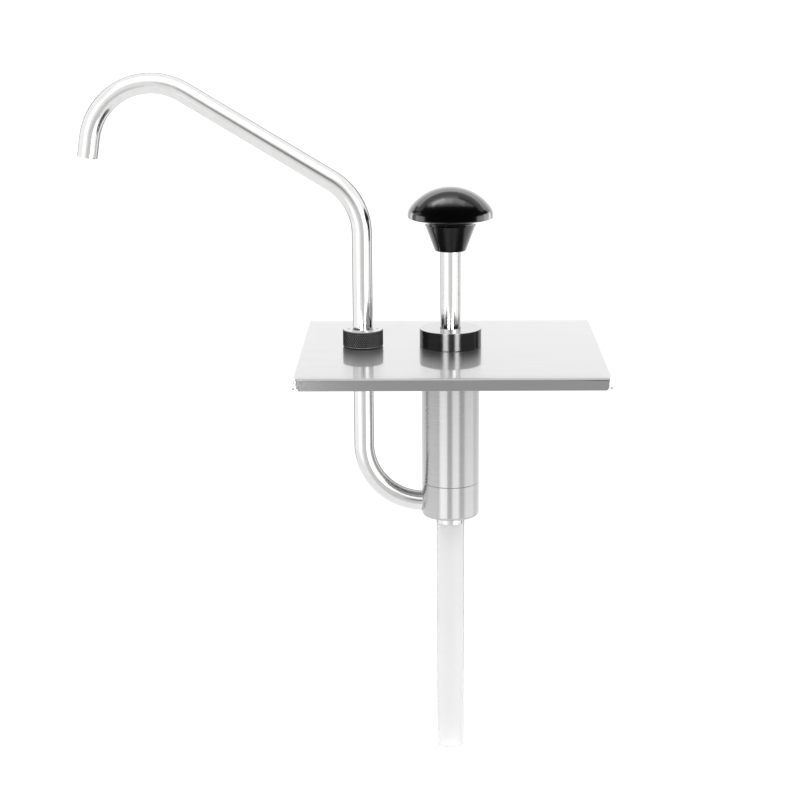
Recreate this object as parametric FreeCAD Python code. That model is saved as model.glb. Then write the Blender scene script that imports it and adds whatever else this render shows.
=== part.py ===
import FreeCAD, Part
import math
import os

# Condiment pump on a folded lid for a sixth-size food container.
# Millimetres. The origin is on the pump's axis, in the plane of the lid's underside.
# +Z is up, the spout reaches towards -X, and the lid's long edges run along X.

V = FreeCAD.Vector
UP = V(0, 0, 1)

# ---- the container's rim, which the lid drops over ----
rim_width = 176.0              # over the rim, across X
rim_depth = 162.0              # over the rim, across Y
rim_clearance = 0.5            # between rim and lip, each side

# ---- clearances ----
running = 0.05                 # radial, a shaft or thread in its hole
piston_clearance = 0.08        # radial, the piston in the bore and the pipe in the nut
seated = 0.02                  # radial, a part pushed into its seat for good
face_gap = 0.05                # between faces that meet at the end of a travel
passing = 0.3                  # radial, a neck through a hole in the lid

# ---- lid ----
sheet = 1.0                    # thickness of the lid's sheet
bend_inside = 0.5              # inside radius of the folded edges
lip_drop = 7.0                 # from the lid's top face to the lip's edge
lip_corner = 2.0               # rounding of the lip's lower corners
axis_set_back = 5.0            # the pump's axis lies this far behind the lid's middle
coin_depth = 0.1               # the flat seats pressed round the holes, underneath
coin_margin = 0.5              # how far a seat reaches past what sits on it
gasket_thickness = 1.0

# ---- pump barrel ----
barrel_bore = 31.0
barrel_wall = 2.0
head_thickness = 5.0           # the barrel's closed upper end
shoulder_width = 4.0           # from the barrel's side in to its threaded neck
bottom_thread_step = 0.8       # how much wider than the bore the lower thread is, each side
bottom_thread_length = 9.0
seam_chamfer = 0.25            # the fine groove where barrel and valve body meet

# ---- clamp collar, rod guide and wiper ----
collar_overhang = 1.0          # past the barrel's side
collar_height = 11.0
collar_roof = 2.5
collar_edge = 0.4
guide_wall = 3.0
guide_flange = 1.5
wiper_width = 2.5
wiper_thickness = 1.5

# ---- plunger ----
stroke = 40.0
finger_gap = 6.9               # left between knob and collar at the end of the stroke
rod_diameter = 12.0
stud_diameter = 8.0            # threaded ends of the rod
stud_chamfer = 0.8
stud_spare = 1.0               # how far a stud reaches past its nut, or stops short in its insert
buffer_thickness = 2.0
buffer_width = 3.5
piston_length = 14.0
piston_seal_section = 2.6
piston_seal_pitch = 6.0
washer_diameter = 18.0
washer_thickness = 1.5
locknut_flats = 13.0
locknut_height = 6.5
locknut_chamfer = 0.8
foot_clearance = 16.05         # from the rod's foot to the ball cage at the end of the stroke

# ---- knob ----
knob_diameter = 51.2
dome_height = 16.9             # above the widest circle
dome_shoulder = 8.4            # radius where the dome turns down into the rim
widest_height = 21.1           # the widest circle above the skirt's end
rim_band = 1.0                 # the upright band under the widest circle
rim_edge = 0.6                 # the sloped edge under the band
skirt_wall = 3.4               # round the rod, at the skirt's end
skirt_top_diameter = 30.8
skirt_height = 15.9
skirt_step = 0.5
skirt_edge = 0.4
socket_depth = 4.0             # the rod's full diameter inside the skirt
insert_wall = 2.5
insert_length = 16.0
insert_groove = 0.6
insert_groove_width = 2.0

# ---- return spring ----
spring_wire = 1.6
spring_side_gap = 1.9          # from the coils to the bore
spring_turns = 9.0
spring_recess = 2.0            # how deep the piston's underside takes the spring

# ---- valve body and ball cage ----
valve_body_fillet = 2.0
spigot_length = 8.4
spigot_wall = 2.05
well_floor = 4.6               # the spring's well goes this far below the joint
gallery_wall = 1.4             # between the ball chamber and the outlet gallery
gallery_floor = 3.4            # metal left under the gallery
gallery_angle = 90.0           # how far round the outlet gallery reaches
ring_section = 1.1             # of the O-ring at the joint
ring_ledge = 0.3               # from the joint to the ring's groove
cage_thickness = 1.0
cage_ring_width = 2.4
cage_pad_diameter = 7.0
cage_spoke_width = 2.2

# ---- ball valves ----
inlet_ball_diameter = 12.0
inlet_side_gap = 1.5           # round the ball in its chamber
inlet_lift = 3.0
outlet_ball_diameter = 10.0
outlet_side_gap = 2.5
outlet_lift = 2.5
seat_opening = 0.65            # a seat's bore as a share of its ball
seat_cone = 1.5                # depth of the 45 degree cone that a ball sits in

# ---- suction side ----
ball_entry = 1.0               # how much wider than the ball the nipple's thread is
nipple_engagement = 4.3        # thread in the valve body
nipple_throat = 2.0            # height of the seat's narrow bore
nipple_wall = 1.45
shoulder_height = 4.0
shoulder_edge = 0.2
seal_thickness = 1.0
nipple_length = 13.2           # inside the tube
nipple_rib_pitch = 3.2
nipple_rib_depth = 0.35
tube_bore = 13.0
tube_wall = 2.0
tube_length = 146.6

# ---- pipes ----
pipe_diameter = 12.0
pipe_wall = 1.0
pipe_offset = 52.5             # the spout's axis from the pump's axis
port_insertion = 4.0           # riser into the valve body's wall
port_straight = 1.0            # the riser's bend ends this far inside the wall
port_roof = 2.0                # least metal over the riser, under the spring's well

# ---- spout ----
bend_radius = 37.3             # to the spout's centre line
arch_reach = 122.4             # the top of the arch from the spout's axis
arch_height = 158.1            # centre line at the top, above the lid's underside
arm_angle = 31.3               # the straight arm above level
tip_lean = 9.0                 # the last straight from upright
tip_length = 11.7
spout_insertion = 10.8         # below the spout's collar

# ---- union on the lid ----
sleeve_wall = 3.0              # round the spout's foot, to the top of the thread
union_nut_wall = 3.15          # outside the thread
union_nut_height = 10.5
union_nut_roof = 1.5
union_nut_chamfer = 0.6
spanner_hole_diameter = 1.6
spanner_hole_depth = 0.9
spanner_hole_inset = 3.75      # from the nut's side
slip_washer_thickness = 0.5
spout_collar_width = 2.5
spout_collar_height = 2.0
union_flange_width = 3.0       # past the thread
union_flange_height = 3.0
union_body_wall = 2.5          # round the outlet valve's chamber
stop_pin_diameter = 2.0
stop_pin_inset = 0.3           # each end, below the fitting's side
spout_ring_section = 1.2
spout_ring_inset = 2.4         # from the sleeve's mouth, and from the spout's foot
groove_play = 0.05             # behind an O-ring
outlet_plug_length = 3.0
outlet_flange_height = 1.5
outlet_socket_depth = 4.5
outlet_socket_wall = 2.0

# ---- radii worked out from the sizes above ----
rod_radius = rod_diameter / 2
stud_radius = stud_diameter / 2
bore_radius = barrel_bore / 2
barrel_radius = bore_radius + barrel_wall
neck_radius = barrel_radius - shoulder_width
collar_radius = barrel_radius + collar_overhang
bottom_thread_radius = bore_radius + bottom_thread_step
guide_radius = rod_radius + guide_wall
wiper_radius = rod_radius + wiper_width
spring_radius = bore_radius - spring_side_gap - spring_wire / 2
well_radius = bottom_thread_radius - running - spigot_wall
insert_radius = stud_radius + insert_wall
tube_radius = tube_bore / 2 + tube_wall
nipple_thread_radius = (inlet_ball_diameter + ball_entry) / 2
inlet_chamber_radius = inlet_ball_diameter / 2 + inlet_side_gap
outlet_chamber_radius = outlet_ball_diameter / 2 + outlet_side_gap
pipe_radius = pipe_diameter / 2
pipe_bore_radius = pipe_radius - pipe_wall
riser_bend_radius = pipe_offset - barrel_radius + port_straight
union_thread_radius = pipe_radius + sleeve_wall
union_nut_radius = union_thread_radius + union_nut_wall
union_flange_radius = union_thread_radius + union_flange_width
union_body_radius = outlet_chamber_radius + union_body_wall
spout_collar_radius = pipe_radius + spout_collar_width
union_axis = V(-pipe_offset, 0, 0)

# ---- levels, from the lid's underside ----
lid_top = sheet
shoulder_level = coin_depth - gasket_thickness
head_underside = shoulder_level - head_thickness
collar_top = lid_top + collar_height
collar_roof_underside = collar_top - collar_roof
neck_top = collar_roof_underside - guide_flange
skirt_end = collar_top + stroke + finger_gap
insert_base = skirt_end + socket_depth
insert_top = insert_base + insert_length
buffer_top = head_underside - face_gap
piston_top = buffer_top - buffer_thickness
piston_bottom = piston_top - piston_length
spring_top = piston_bottom + spring_recess
locknut_top = piston_bottom - washer_thickness
locknut_bottom = locknut_top - locknut_height
rod_foot = locknut_bottom - stud_spare
cage_top = rod_foot - stroke - foot_clearance
well_level = cage_top - cage_thickness
joint_level = well_level + well_floor
nut_top = lid_top + union_nut_height
nut_roof_underside = nut_top - union_nut_roof
slip_washer_bottom = nut_roof_underside - slip_washer_thickness
spout_collar_base = slip_washer_bottom - 2 * face_gap - spout_collar_height
union_sleeve_top = spout_collar_base - face_gap
spout_foot = spout_collar_base - spout_insertion
stop_pin_level = spout_foot - stop_pin_diameter / 2 - face_gap


def seat_height(ball_diameter):
    """Height of a seated ball's centre above the narrow end of its 45 degree cone."""
    contact_radius = ball_diameter / 2 * math.sqrt(0.5)
    bore = ball_diameter * seat_opening / 2
    return contact_radius - bore + contact_radius


inlet_ball_level = well_level - face_gap - inlet_lift - inlet_ball_diameter / 2
inlet_seat_level = inlet_ball_level - seat_height(inlet_ball_diameter)
nipple_top = inlet_seat_level + seat_cone
port_height = gallery_floor + pipe_bore_radius
body_bottom = min(nipple_top - nipple_engagement, well_level - port_roof - pipe_radius - port_height)
port_level = body_bottom + port_height
nipple_shoulder_top = body_bottom - seal_thickness
tube_top = nipple_shoulder_top - shoulder_height
nipple_bottom = tube_top - nipple_length

outlet_ball_level = stop_pin_level - stop_pin_diameter / 2 - face_gap - outlet_lift \
    - outlet_ball_diameter / 2
outlet_seat_level = outlet_ball_level - seat_height(outlet_ball_diameter)
outlet_seat_top = outlet_seat_level + seat_cone
outlet_plug_bottom = outlet_seat_top - outlet_plug_length
riser_top = outlet_plug_bottom - outlet_flange_height
riser_socket_end = riser_top - outlet_socket_depth


# ---------------------------------------------------------------- helpers

def turned(outline, at=V(0, 0, 0)):
    """A solid of revolution about Z through `at`; outline is a closed list of (radius, z)."""
    points = [V(r, 0, z) for r, z in outline]
    wire = Part.makePolygon(points + points[:1])
    return placed(Part.Face(wire).revolve(V(0, 0, 0), UP, 360), at)


def placed(shape, at):
    """The shape moved by `at`, with the move written into its geometry."""
    moved = shape.copy()
    moved.translate(at)
    return moved


def disc(radius, low, high, at=V(0, 0, 0)):
    return Part.makeCylinder(radius, high - low, V(at.x, at.y, low))


def ring(outer, inner, low, high, at=V(0, 0, 0)):
    return disc(outer, low, high, at).cut(disc(inner, low - 1, high + 1, at))


def o_ring(inner, section, level, at=V(0, 0, 0)):
    """A round-section ring whose hole has the radius `inner`."""
    return Part.makeTorus(inner + section / 2, section / 2, V(at.x, at.y, level))


def ring_groove_width(section):
    """A groove leaves an O-ring room to spread when it is squeezed."""
    return 1.3 * section


def circles_at(shape, level, radius):
    """The shape's full circles of one radius at one height."""
    found = []
    for edge in shape.Edges:
        curve = edge.Curve
        if isinstance(curve, Part.Circle) and abs(curve.Center.z - level) < 1e-4:
            if abs(curve.Radius - radius) < 1e-4:
                found.append(edge)
    return found


def rod_along(path, radius):
    """A round bar along a wire of straight runs and tangent arcs."""
    bar = None
    for edge in path.Edges:
        start = edge.valueAt(edge.FirstParameter)
        along = edge.tangentAt(edge.FirstParameter)
        if isinstance(edge.Curve, Part.Circle):
            arc = edge.Curve
            section = Part.Face(Part.Wire(Part.Edge(Part.Circle(start, along, radius))))
            turn = math.degrees(edge.LastParameter - edge.FirstParameter)
            piece = section.revolve(arc.Center, arc.Axis, turn)
        else:
            piece = Part.makeCylinder(radius, edge.Length, start, along)
        bar = piece if bar is None else bar.fuse(piece)
    return bar.removeSplitter()


def tube_along(path, outer, inner):
    """A pipe along a wire of straight runs and tangent arcs."""
    return rod_along(path, outer).cut(rod_along(path, inner))


def straight(start, end):
    return Part.LineSegment(start, end).toShape()


def bend(centre, radius, from_angle, to_angle):
    """An arc in the XZ plane; the angles are in degrees from +X towards +Z."""
    def on_circle(angle):
        turn = math.radians(angle)
        return centre + V(radius * math.cos(turn), 0, radius * math.sin(turn))
    middle = (from_angle + to_angle) / 2
    return Part.Arc(on_circle(from_angle), on_circle(middle), on_circle(to_angle)).toShape()


# ---------------------------------------------------------------- lid

flat_half_width = rim_width / 2 + rim_clearance - bend_inside
flat_half_depth = rim_depth / 2 + rim_clearance - bend_inside


def lip(length):
    """One folded edge, running along X, with the flat of the lid on its +Y side."""
    outside = bend_inside + sheet
    bend_z = lid_top - outside
    low = lid_top - lip_drop
    half_turn = math.sqrt(0.5)

    def arc(radius):
        middle = V(0, -radius * half_turn, bend_z + radius * half_turn)
        return Part.Arc(V(0, 0, bend_z + radius), middle, V(0, -radius, bend_z)).toShape()

    edges = [
        arc(outside),
        straight(V(0, -outside, bend_z), V(0, -outside, low)),
        straight(V(0, -outside, low), V(0, -bend_inside, low)),
        straight(V(0, -bend_inside, low), V(0, -bend_inside, bend_z)),
        arc(bend_inside),
        straight(V(0, 0, bend_z + bend_inside), V(0, 0, bend_z + outside)),
    ]
    profile = Part.Face(Part.Wire(Part.__sortEdges__(edges)))
    profile.translate(V(-length / 2, 0, 0))
    solid = profile.extrude(V(length, 0, 0))
    corners = [edge for edge in solid.Edges
               if abs(edge.Length - sheet) < 1e-6
               and edge.BoundBox.ZMax < low + 1e-6]
    return solid.makeFillet(lip_corner, corners)


def lid_plate():
    width = 2 * flat_half_width
    depth = 2 * flat_half_depth
    lid = Part.makeBox(width, depth, sheet, V(-flat_half_width, -flat_half_depth, 0))
    for quarter in range(4):
        along_x = quarter % 2 == 0
        edge = lip(width if along_x else depth)
        edge.translate(V(0, -(flat_half_depth if along_x else flat_half_width), 0))
        edge.rotate(V(0, 0, 0), UP, 90 * quarter)
        lid = lid.fuse(edge)
    lid = lid.removeSplitter()
    lid.translate(V(0, -axis_set_back, 0))
    pump_hole = disc(neck_radius + passing, -1, lid_top + 1)
    union_hole = disc(union_thread_radius + passing, -1, lid_top + 1, union_axis)
    pump_seat = disc(barrel_radius + coin_margin, -1, coin_depth)
    union_seat = disc(union_flange_radius + coin_margin, -1, coin_depth, union_axis)
    return lid.cut(pump_hole).cut(union_hole).cut(pump_seat).cut(union_seat)


def pump_gasket():
    return ring(barrel_radius - coin_margin, neck_radius + passing,
                shoulder_level, coin_depth)


def union_gasket():
    return ring(union_flange_radius - coin_margin, union_thread_radius + passing,
                shoulder_level, coin_depth, union_axis)


# ---------------------------------------------------------------- pump

def pump_barrel():
    guide_bore = guide_radius + seated
    thread_level = joint_level + bottom_thread_length
    return turned([
        (guide_bore, neck_top),
        (neck_radius, neck_top),
        (neck_radius, shoulder_level),
        (barrel_radius, shoulder_level),
        (barrel_radius, joint_level + seam_chamfer),
        (barrel_radius - seam_chamfer, joint_level),
        (bottom_thread_radius, joint_level),
        (bottom_thread_radius, thread_level),
        (bore_radius, thread_level),
        (bore_radius, head_underside),
        (guide_bore, head_underside),
    ])


def clamp_collar():
    thread = neck_radius + running
    wiper_bore = wiper_radius + seated
    mouth = rod_radius + passing
    wiper_top = collar_roof_underside + wiper_thickness
    return turned([
        (thread, lid_top),
        (collar_radius - collar_edge, lid_top),
        (collar_radius, lid_top + collar_edge),
        (collar_radius, collar_top - collar_edge),
        (collar_radius - collar_edge, collar_top),
        (mouth, collar_top),
        (mouth, wiper_top),
        (wiper_bore, wiper_top),
        (wiper_bore, collar_roof_underside),
        (thread, collar_roof_underside),
    ])


def rod_guide():
    """The bush in the barrel's neck; the collar's roof holds its flange down."""
    hole = rod_radius + running
    flange = neck_radius - coin_margin
    return turned([
        (hole, head_underside),
        (guide_radius, head_underside),
        (guide_radius, neck_top),
        (flange, neck_top),
        (flange, collar_roof_underside),
        (hole, collar_roof_underside),
    ])


def rod_wiper():
    return ring(wiper_radius, rod_radius + running, collar_roof_underside,
                collar_roof_underside + wiper_thickness)


def valve_body():
    """Screws up into the barrel, and holds the spring's well and the inlet ball's chamber."""
    spigot = bottom_thread_radius - running
    thread = nipple_thread_radius + seated
    spigot_top = joint_level + spigot_length
    groove_low = joint_level + ring_ledge
    groove_high = groove_low + ring_groove_width(ring_section)
    groove_floor = bottom_thread_radius - ring_section - 2 * groove_play
    body = turned([
        (thread, body_bottom),
        (barrel_radius, body_bottom),
        (barrel_radius, joint_level - seam_chamfer),
        (barrel_radius - seam_chamfer, joint_level),
        (spigot, joint_level),
        (spigot, groove_low),
        (groove_floor, groove_low),
        (groove_floor, groove_high),
        (spigot, groove_high),
        (spigot, spigot_top),
        (well_radius, spigot_top),
        (well_radius, well_level),
        (inlet_chamber_radius, well_level),
        (inlet_chamber_radius, nipple_top),
        (thread, nipple_top),
    ])
    body = body.makeFillet(valve_body_fillet, circles_at(body, body_bottom, barrel_radius))
    return body.cut(outlet_gallery()).cut(riser_port())


def outlet_gallery():
    """The pocket in the well's floor that takes the sauce across to the riser."""
    inner = inlet_chamber_radius + gallery_wall
    low = port_level - pipe_bore_radius
    pocket = ring(well_radius, inner, low, well_level + 1)
    half = math.radians(gallery_angle / 2)
    reach = 2 * barrel_radius
    corner_x = -reach * math.cos(half)
    corner_y = reach * math.sin(half)
    corners = [
        V(0, 0, low - 1),
        V(corner_x, corner_y, low - 1),
        V(-2 * reach, 0, low - 1),
        V(corner_x, -corner_y, low - 1),
    ]
    wedge = Part.Face(Part.makePolygon(corners + corners[:1]))
    return pocket.common(wedge.extrude(V(0, 0, well_level - low + 3)))


def riser_port():
    """The socket that the riser is brazed into."""
    start = V(-barrel_radius - 1, 0, port_level)
    return Part.makeCylinder(pipe_radius + seated, port_insertion + 1, start, V(1, 0, 0))


def barrel_seal():
    level = joint_level + ring_ledge + ring_groove_width(ring_section) / 2
    return o_ring(bottom_thread_radius - ring_section - seated, ring_section, level)


def ball_cage():
    """The spring's seat, whose crossed spokes also stop the inlet ball."""
    outer = well_radius - running
    inner = outer - cage_ring_width
    cage = ring(outer, inner, well_level, cage_top)
    cage = cage.fuse(disc(cage_pad_diameter / 2, well_level, cage_top))
    for quarter in range(4):
        spoke = Part.makeBox(inner + cage_ring_width / 2, cage_spoke_width, cage_thickness,
                             V(0, -cage_spoke_width / 2, well_level))
        spoke.rotate(V(0, 0, 0), UP, 45 + 90 * quarter)
        cage = cage.fuse(spoke)
    return cage.removeSplitter()


def inlet_ball():
    return Part.makeSphere(inlet_ball_diameter / 2, V(0, 0, inlet_ball_level))


def suction_nipple():
    """Its upper end is the inlet ball's seat, and the tube pushes over its ribbed stem."""
    seat = inlet_ball_diameter * seat_opening / 2
    stem = tube_bore / 2 - running
    bore = stem - nipple_wall
    throat_level = inlet_seat_level - nipple_throat
    outline = [
        (seat + seat_cone, nipple_top),
        (nipple_thread_radius, nipple_top),
        (nipple_thread_radius, nipple_shoulder_top),
        (tube_radius - shoulder_edge, nipple_shoulder_top),
        (tube_radius, nipple_shoulder_top - shoulder_edge),
        (tube_radius, tube_top),
        (stem, tube_top),
    ]
    for rib in range(1, int(nipple_length / nipple_rib_pitch)):
        level = tube_top - rib * nipple_rib_pitch
        outline.append((stem, level))
        outline.append((stem - nipple_rib_depth, level - nipple_rib_pitch / 3))
    outline += [
        (stem, nipple_bottom + nipple_rib_pitch / 3),
        (stem - 2 * nipple_rib_depth, nipple_bottom),
        (bore, nipple_bottom),
        (bore, throat_level),
        (seat, throat_level),
        (seat, inlet_seat_level),
    ]
    return turned(outline)


def nipple_seal():
    return ring(tube_radius - shoulder_edge, nipple_thread_radius + seated,
                nipple_shoulder_top, body_bottom)


def suction_tube():
    return ring(tube_radius, tube_bore / 2, tube_top - tube_length, tube_top)


# ---------------------------------------------------------------- plunger

def plunger_rod():
    stud_top = insert_top - stud_spare
    return turned([
        (0, rod_foot),
        (stud_radius - stud_chamfer, rod_foot),
        (stud_radius, rod_foot + stud_chamfer),
        (stud_radius, piston_top),
        (rod_radius, piston_top),
        (rod_radius, insert_base),
        (stud_radius, insert_base),
        (stud_radius, stud_top - stud_chamfer),
        (stud_radius - stud_chamfer, stud_top),
        (0, stud_top),
    ])


def stop_buffer():
    return ring(rod_radius + buffer_width, rod_radius + seated, piston_top, buffer_top)


def piston_groove_levels():
    middle = (piston_top + spring_top) / 2
    return [middle - piston_seal_pitch / 2, middle + piston_seal_pitch / 2]


def piston():
    outer = bore_radius - piston_clearance
    groove_floor = bore_radius - running - piston_seal_section - groove_play
    half_groove = ring_groove_width(piston_seal_section) / 2
    body = ring(outer, stud_radius + seated, piston_bottom, piston_top)
    for level in piston_groove_levels():
        groove = ring(outer + 1, groove_floor, level - half_groove, level + half_groove)
        body = body.cut(groove)
    half_recess = spring_wire / 2 + passing
    recess = ring(spring_radius + half_recess, spring_radius - half_recess,
                  piston_bottom - 1, spring_top)
    return body.cut(recess)


def piston_seals():
    inner = bore_radius - running - piston_seal_section
    rings = [o_ring(inner, piston_seal_section, level) for level in piston_groove_levels()]
    return Part.makeCompound(rings)


def piston_washer():
    return ring(washer_diameter / 2, stud_radius + seated, locknut_top, piston_bottom)


def piston_locknut():
    corner = locknut_flats / math.sqrt(3)
    points = []
    for k in range(6):
        turn = math.radians(60 * k)
        points.append(V(corner * math.cos(turn), corner * math.sin(turn), locknut_bottom))
    nut = Part.Face(Part.makePolygon(points + points[:1])).extrude(V(0, 0, locknut_height))
    crown = turned([
        (0, locknut_bottom),
        (locknut_flats / 2, locknut_bottom),
        (corner + 0.1, locknut_bottom + locknut_chamfer),
        (corner + 0.1, locknut_top),
        (0, locknut_top),
    ])
    hole = disc(stud_radius + seated, locknut_bottom - 1, locknut_top + 1)
    return nut.common(crown).cut(hole)


def return_spring():
    low = cage_top + spring_wire / 2
    height = spring_top - spring_wire / 2 - low
    helix = Part.makeHelix(height / spring_turns, height, spring_radius)
    section = Part.Circle(V(spring_radius, 0, 0), V(0, 1, 0), spring_wire / 2)
    profile = Part.Wire(Part.Edge(section))
    coil = Part.Wire(helix).makePipeShell([profile], True, True)
    return placed(coil, V(0, 0, low))


def knob():
    """A mushroom head on a conical skirt, hollow for the rod and the threaded insert."""
    rim = knob_diameter / 2
    widest = skirt_end + widest_height
    under_rim = widest - rim_band
    skirt_top = skirt_end + skirt_height
    skirt_top_radius = skirt_top_diameter / 2
    skirt_end_radius = rod_radius + skirt_wall
    inset = rim - dome_shoulder
    crown = (inset ** 2 + dome_height ** 2 - dome_shoulder ** 2) / (2 * (dome_height - dome_shoulder))
    drop = crown - dome_height
    meeting = math.degrees(math.atan2(drop, inset))
    outline = [
        (rim, widest),
        (rim, under_rim),
        (rim - rim_edge, under_rim - rim_edge),
        (skirt_top_radius - skirt_step, skirt_top + skirt_step),
        (skirt_top_radius - skirt_step, skirt_top),
        (skirt_top_radius, skirt_top - skirt_step / 2),
        (skirt_end_radius, skirt_end + skirt_edge),
        (skirt_end_radius - skirt_edge, skirt_end),
        (0, skirt_end),
        (0, widest + dome_height),
    ]
    edges = [
        bend(V(inset, 0, widest), dome_shoulder, 0, meeting),
        bend(V(0, 0, widest - drop), crown, meeting, 90),
    ]
    for (r0, z0), (r1, z1) in zip(outline, outline[1:]):
        edges.append(straight(V(r0, 0, z0), V(r1, 0, z1)))
    section = Part.Face(Part.Wire(Part.__sortEdges__(edges)))
    body = section.revolve(V(0, 0, 0), UP, 360)
    body = body.cut(disc(rod_radius + seated, skirt_end - 1, insert_base))
    return body.cut(insert_shape(0))


def insert_shape(bore):
    """The moulded-in insert, with two grooves that key it into the knob."""
    outer = insert_radius
    root = insert_radius - insert_groove
    outline = [(bore, insert_base), (outer, insert_base)]
    for groove in (1, 2):
        low = insert_base + groove * insert_length / 3 - insert_groove_width / 2
        high = low + insert_groove_width
        outline += [(outer, low), (root, low), (root, high), (outer, high)]
    outline += [(outer, insert_top), (bore, insert_top)]
    return turned(outline)


def knob_insert():
    return insert_shape(stud_radius + seated)


# ---------------------------------------------------------------- union, riser and spout

def spout_ring_levels():
    return [union_sleeve_top - spout_ring_inset, spout_foot + spout_ring_inset]


def union_fitting():
    """The threaded sleeve through the lid, with the outlet valve's chamber below it."""
    socket = pipe_radius + running
    flange_bottom = shoulder_level - union_flange_height
    chamber_top = spout_foot - face_gap
    fitting = turned([
        (socket, union_sleeve_top),
        (union_thread_radius, union_sleeve_top),
        (union_thread_radius, shoulder_level),
        (union_flange_radius, shoulder_level),
        (union_flange_radius, flange_bottom),
        (union_body_radius, flange_bottom),
        (union_body_radius, outlet_plug_bottom),
        (outlet_chamber_radius, outlet_plug_bottom),
        (outlet_chamber_radius, chamber_top),
        (socket, chamber_top),
    ], union_axis)
    groove_radius = pipe_radius + seated + spout_ring_section + groove_play
    half_groove = ring_groove_width(spout_ring_section) / 2
    for level in spout_ring_levels():
        groove = disc(groove_radius, level - half_groove, level + half_groove, union_axis)
        fitting = fitting.cut(groove)
    return fitting.cut(cross_pin(stop_pin_diameter / 2, 2 * union_body_radius + 2))


def cross_pin(radius, length):
    start = union_axis + V(0, -length / 2, stop_pin_level)
    return Part.makeCylinder(radius, length, start, V(0, 1, 0))


def outlet_stop_pin():
    length = 2 * (union_body_radius - stop_pin_inset)
    return cross_pin(stop_pin_diameter / 2 - seated, length)


def outlet_seat():
    """The plug under the outlet ball, with the socket that holds the riser's upper end."""
    seat = outlet_ball_diameter * seat_opening / 2
    plug = outlet_chamber_radius - seated
    socket = pipe_radius + seated
    return turned([
        (seat, outlet_seat_level),
        (seat + seat_cone, outlet_seat_top),
        (plug, outlet_seat_top),
        (plug, outlet_plug_bottom),
        (union_body_radius, outlet_plug_bottom),
        (union_body_radius, riser_top),
        (socket + outlet_socket_wall, riser_top),
        (socket + outlet_socket_wall, riser_socket_end),
        (socket, riser_socket_end),
        (socket, riser_top),
        (seat, riser_top),
    ], union_axis)


def outlet_ball():
    centre = union_axis + V(0, 0, outlet_ball_level)
    return Part.makeSphere(outlet_ball_diameter / 2, centre)


def spout_seals():
    rings = [o_ring(pipe_radius + seated, spout_ring_section, level, union_axis)
             for level in spout_ring_levels()]
    return Part.makeCompound(rings)


def union_nut():
    thread = union_thread_radius + running
    hole = pipe_radius + piston_clearance
    nut = turned([
        (thread, lid_top),
        (union_nut_radius - union_nut_chamfer, lid_top),
        (union_nut_radius, lid_top + union_nut_chamfer),
        (union_nut_radius, nut_top - union_nut_chamfer / 2),
        (union_nut_radius - union_nut_chamfer / 2, nut_top),
        (hole, nut_top),
        (hole, nut_roof_underside),
        (thread, nut_roof_underside),
    ], union_axis)
    for side in (-1, 1):
        centre = union_axis + V(side * (union_nut_radius - spanner_hole_inset), 0, 0)
        hole = disc(spanner_hole_diameter / 2, nut_top - spanner_hole_depth, nut_top + 1, centre)
        nut = nut.cut(hole)
    return nut


def slip_washer():
    return ring(spout_collar_radius, pipe_radius + piston_clearance,
                slip_washer_bottom, nut_roof_underside, union_axis)


def spout_collar():
    return ring(spout_collar_radius, pipe_radius, spout_collar_base,
                spout_collar_base + spout_collar_height, union_axis)


def spout_path():
    """Up from the union, over the elbow, along the arm and round the arch to the tip."""
    elbow_turn = 90 - arm_angle
    elbow_reach = bend_radius * math.tan(math.radians(elbow_turn / 2))
    lean = math.radians(tip_lean)
    rise = math.radians(arm_angle)
    arch_centre = V(-pipe_offset - arch_reach, 0, arch_height - bend_radius)
    arm_end = arch_centre + V(math.sin(rise), 0, math.cos(rise)) * bend_radius
    arch_end = arch_centre + V(-math.cos(lean), 0, math.sin(lean)) * bend_radius
    tip = arch_end + V(-math.sin(lean), 0, -math.cos(lean)) * tip_length
    corner_level = arm_end.z - (-pipe_offset - arm_end.x) * math.tan(rise)
    elbow_start = V(-pipe_offset, 0, corner_level - elbow_reach)
    elbow = bend(elbow_start - V(bend_radius, 0, 0), bend_radius, 0, elbow_turn)
    return Part.Wire([
        straight(V(-pipe_offset, 0, spout_foot), elbow_start),
        elbow,
        straight(elbow.valueAt(elbow.LastParameter), arm_end),
        bend(arch_centre, bend_radius, elbow_turn, 180 - tip_lean),
        straight(arch_end, tip),
    ])


def spout_pipe():
    return tube_along(spout_path(), pipe_radius, pipe_bore_radius)


def riser_path():
    """Down from the union, and round into the valve body's side."""
    radius = riser_bend_radius
    bend_centre = V(-pipe_offset + radius, 0, port_level + radius)
    mouth = V(-barrel_radius + port_insertion, 0, port_level)
    return Part.Wire([
        straight(V(-pipe_offset, 0, riser_top), V(-pipe_offset, 0, bend_centre.z)),
        bend(bend_centre, radius, 180, 270),
        straight(V(bend_centre.x, 0, port_level), mouth),
    ])


def riser_pipe():
    return tube_along(riser_path(), pipe_radius, pipe_bore_radius)


# ---------------------------------------------------------------- the whole pump

sub_parts = [
    lid_plate, pump_gasket, union_gasket,
    pump_barrel, clamp_collar, rod_guide, rod_wiper,
    valve_body, barrel_seal, ball_cage, inlet_ball,
    suction_nipple, nipple_seal, suction_tube,
    plunger_rod, stop_buffer, piston, piston_seals, piston_washer, piston_locknut,
    return_spring, knob, knob_insert,
    union_fitting, outlet_seat, outlet_ball, outlet_stop_pin, riser_pipe,
    spout_seals, spout_pipe, spout_collar, slip_washer, union_nut,
]

os.makedirs("parts", exist_ok=True)
for make in sub_parts:
    name = make.__name__
    shape = make()
    shape.exportStep(os.path.join("parts", name + ".step"))
    box = shape.optimalBoundingBox(False)
    print(f"{name:16s} valid {shape.isValid()}  solids {len(shape.Solids)}  "
          f"volume {shape.Volume:9.1f}  z {box.ZMin:8.2f} to {box.ZMax:7.2f}")
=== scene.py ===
import math

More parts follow.
